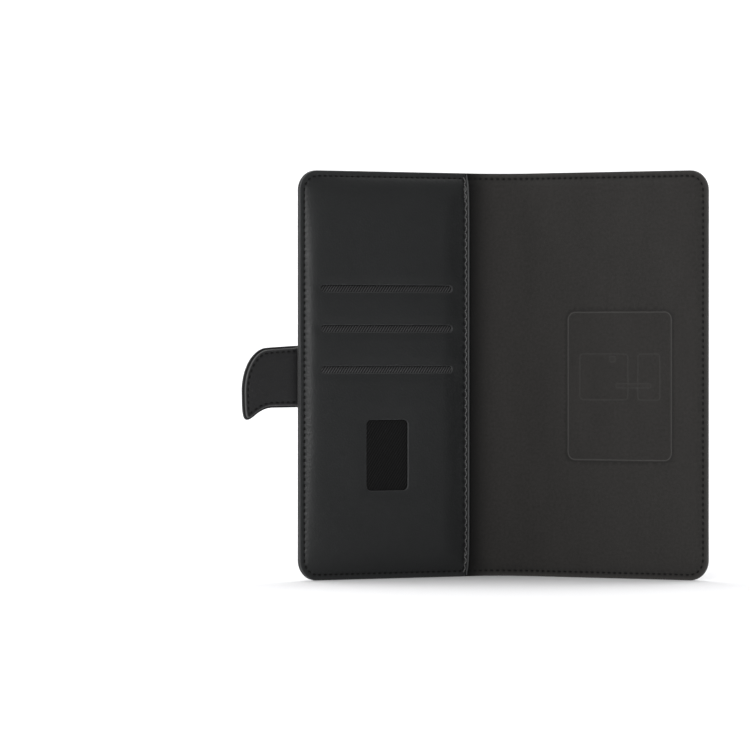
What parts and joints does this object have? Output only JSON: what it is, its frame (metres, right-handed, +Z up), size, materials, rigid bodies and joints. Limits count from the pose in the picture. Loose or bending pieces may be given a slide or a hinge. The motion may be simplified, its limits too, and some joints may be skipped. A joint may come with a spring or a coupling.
{
  "type": "phone wallet case",
  "caption": "Folio phone case that opens like a book: card panel with slots and a thumb window, curved spine, magnetic phone mount, closure tab.",
  "frame": {"origin": "on the surface that the open case stands on, under the middle of its box", "axes": "+Z up the spine; +X from the front cover, which carries the closure tab, to the back cover; +Y from the inside of the case out through the spine"},
  "size_m": [0.1854, 0.0546, 0.163],
  "materials": {
    "outer_leather": "smooth black coated leather, low sheen",
    "panel_leather": "smooth black coated leather, soft sheen",
    "microfibre": "matte black microfibre",
    "twill": "fine black twill",
    "greyboard": "raw paper board",
    "flexible_sheet": "matte flexible sheet",
    "plated_steel": "nickel plated",
    "thread": "black polyester thread"
  },
  "bodies": {
    "back_cover": {"back_skin": "outer_leather", "back_board": "greyboard", "mounting_plate": "plated_steel", "tab_keeper": "plated_steel", "back_lining": "microfibre", "back_seam_thread": "thread"},
    "spine": {"spine_skin": "outer_leather", "spine_stiffener": "flexible_sheet", "spine_lining": "microfibre"},
    "front_cover": {"front_skin": "outer_leather", "front_board": "greyboard", "front_lining": "microfibre", "cash_pocket_wall": "twill", "middle_card_divider": "twill", "lower_card_divider": "twill", "card_panel_face": "panel_leather", "card_panel_piping": "panel_leather", "pocket_edge_thread": "thread", "front_seam_thread": "thread", "tab_anchor": "outer_leather", "tab_anchor_thread": "thread"},
    "tab_strap": {"tab_strap_outer_leather": "outer_leather", "tab_strap_core": "flexible_sheet", "tab_strap_inner_leather": "outer_leather", "tab_strap_upper_thread": "thread", "tab_strap_lower_thread": "thread"},
    "tab_tip": {"tab_tip_outer_leather": "outer_leather", "tab_magnet": "plated_steel", "tab_tip_inner_leather": "outer_leather", "tab_tip_thread": "thread"}
  },
  "joints": [
    {"name": "back_fold", "type": "hinge", "parent": "back_cover", "child": "spine", "pos_m": [0.02474, 0.02365, 0.0815], "axis": [0, 0, 1], "range_deg": [-120, 64]},
    {"name": "front_fold", "type": "hinge", "parent": "spine", "child": "front_cover", "pos_m": [-0.00276, 0.02365, 0.0815], "axis": [0, 0, 1], "range_deg": [-120, 64]},
    {"name": "tab_root_fold", "type": "hinge", "parent": "front_cover", "child": "tab_strap", "pos_m": [-0.07203, -0.01576, 0.0811], "axis": [0, 0, 1], "range_deg": [-30, 86]},
    {"name": "tab_tip_fold", "type": "hinge", "parent": "tab_strap", "child": "tab_tip", "pos_m": [-0.087, -0.02464, 0.0775], "axis": [0, 0, 1], "range_deg": [-10, 86]}
  ]
}
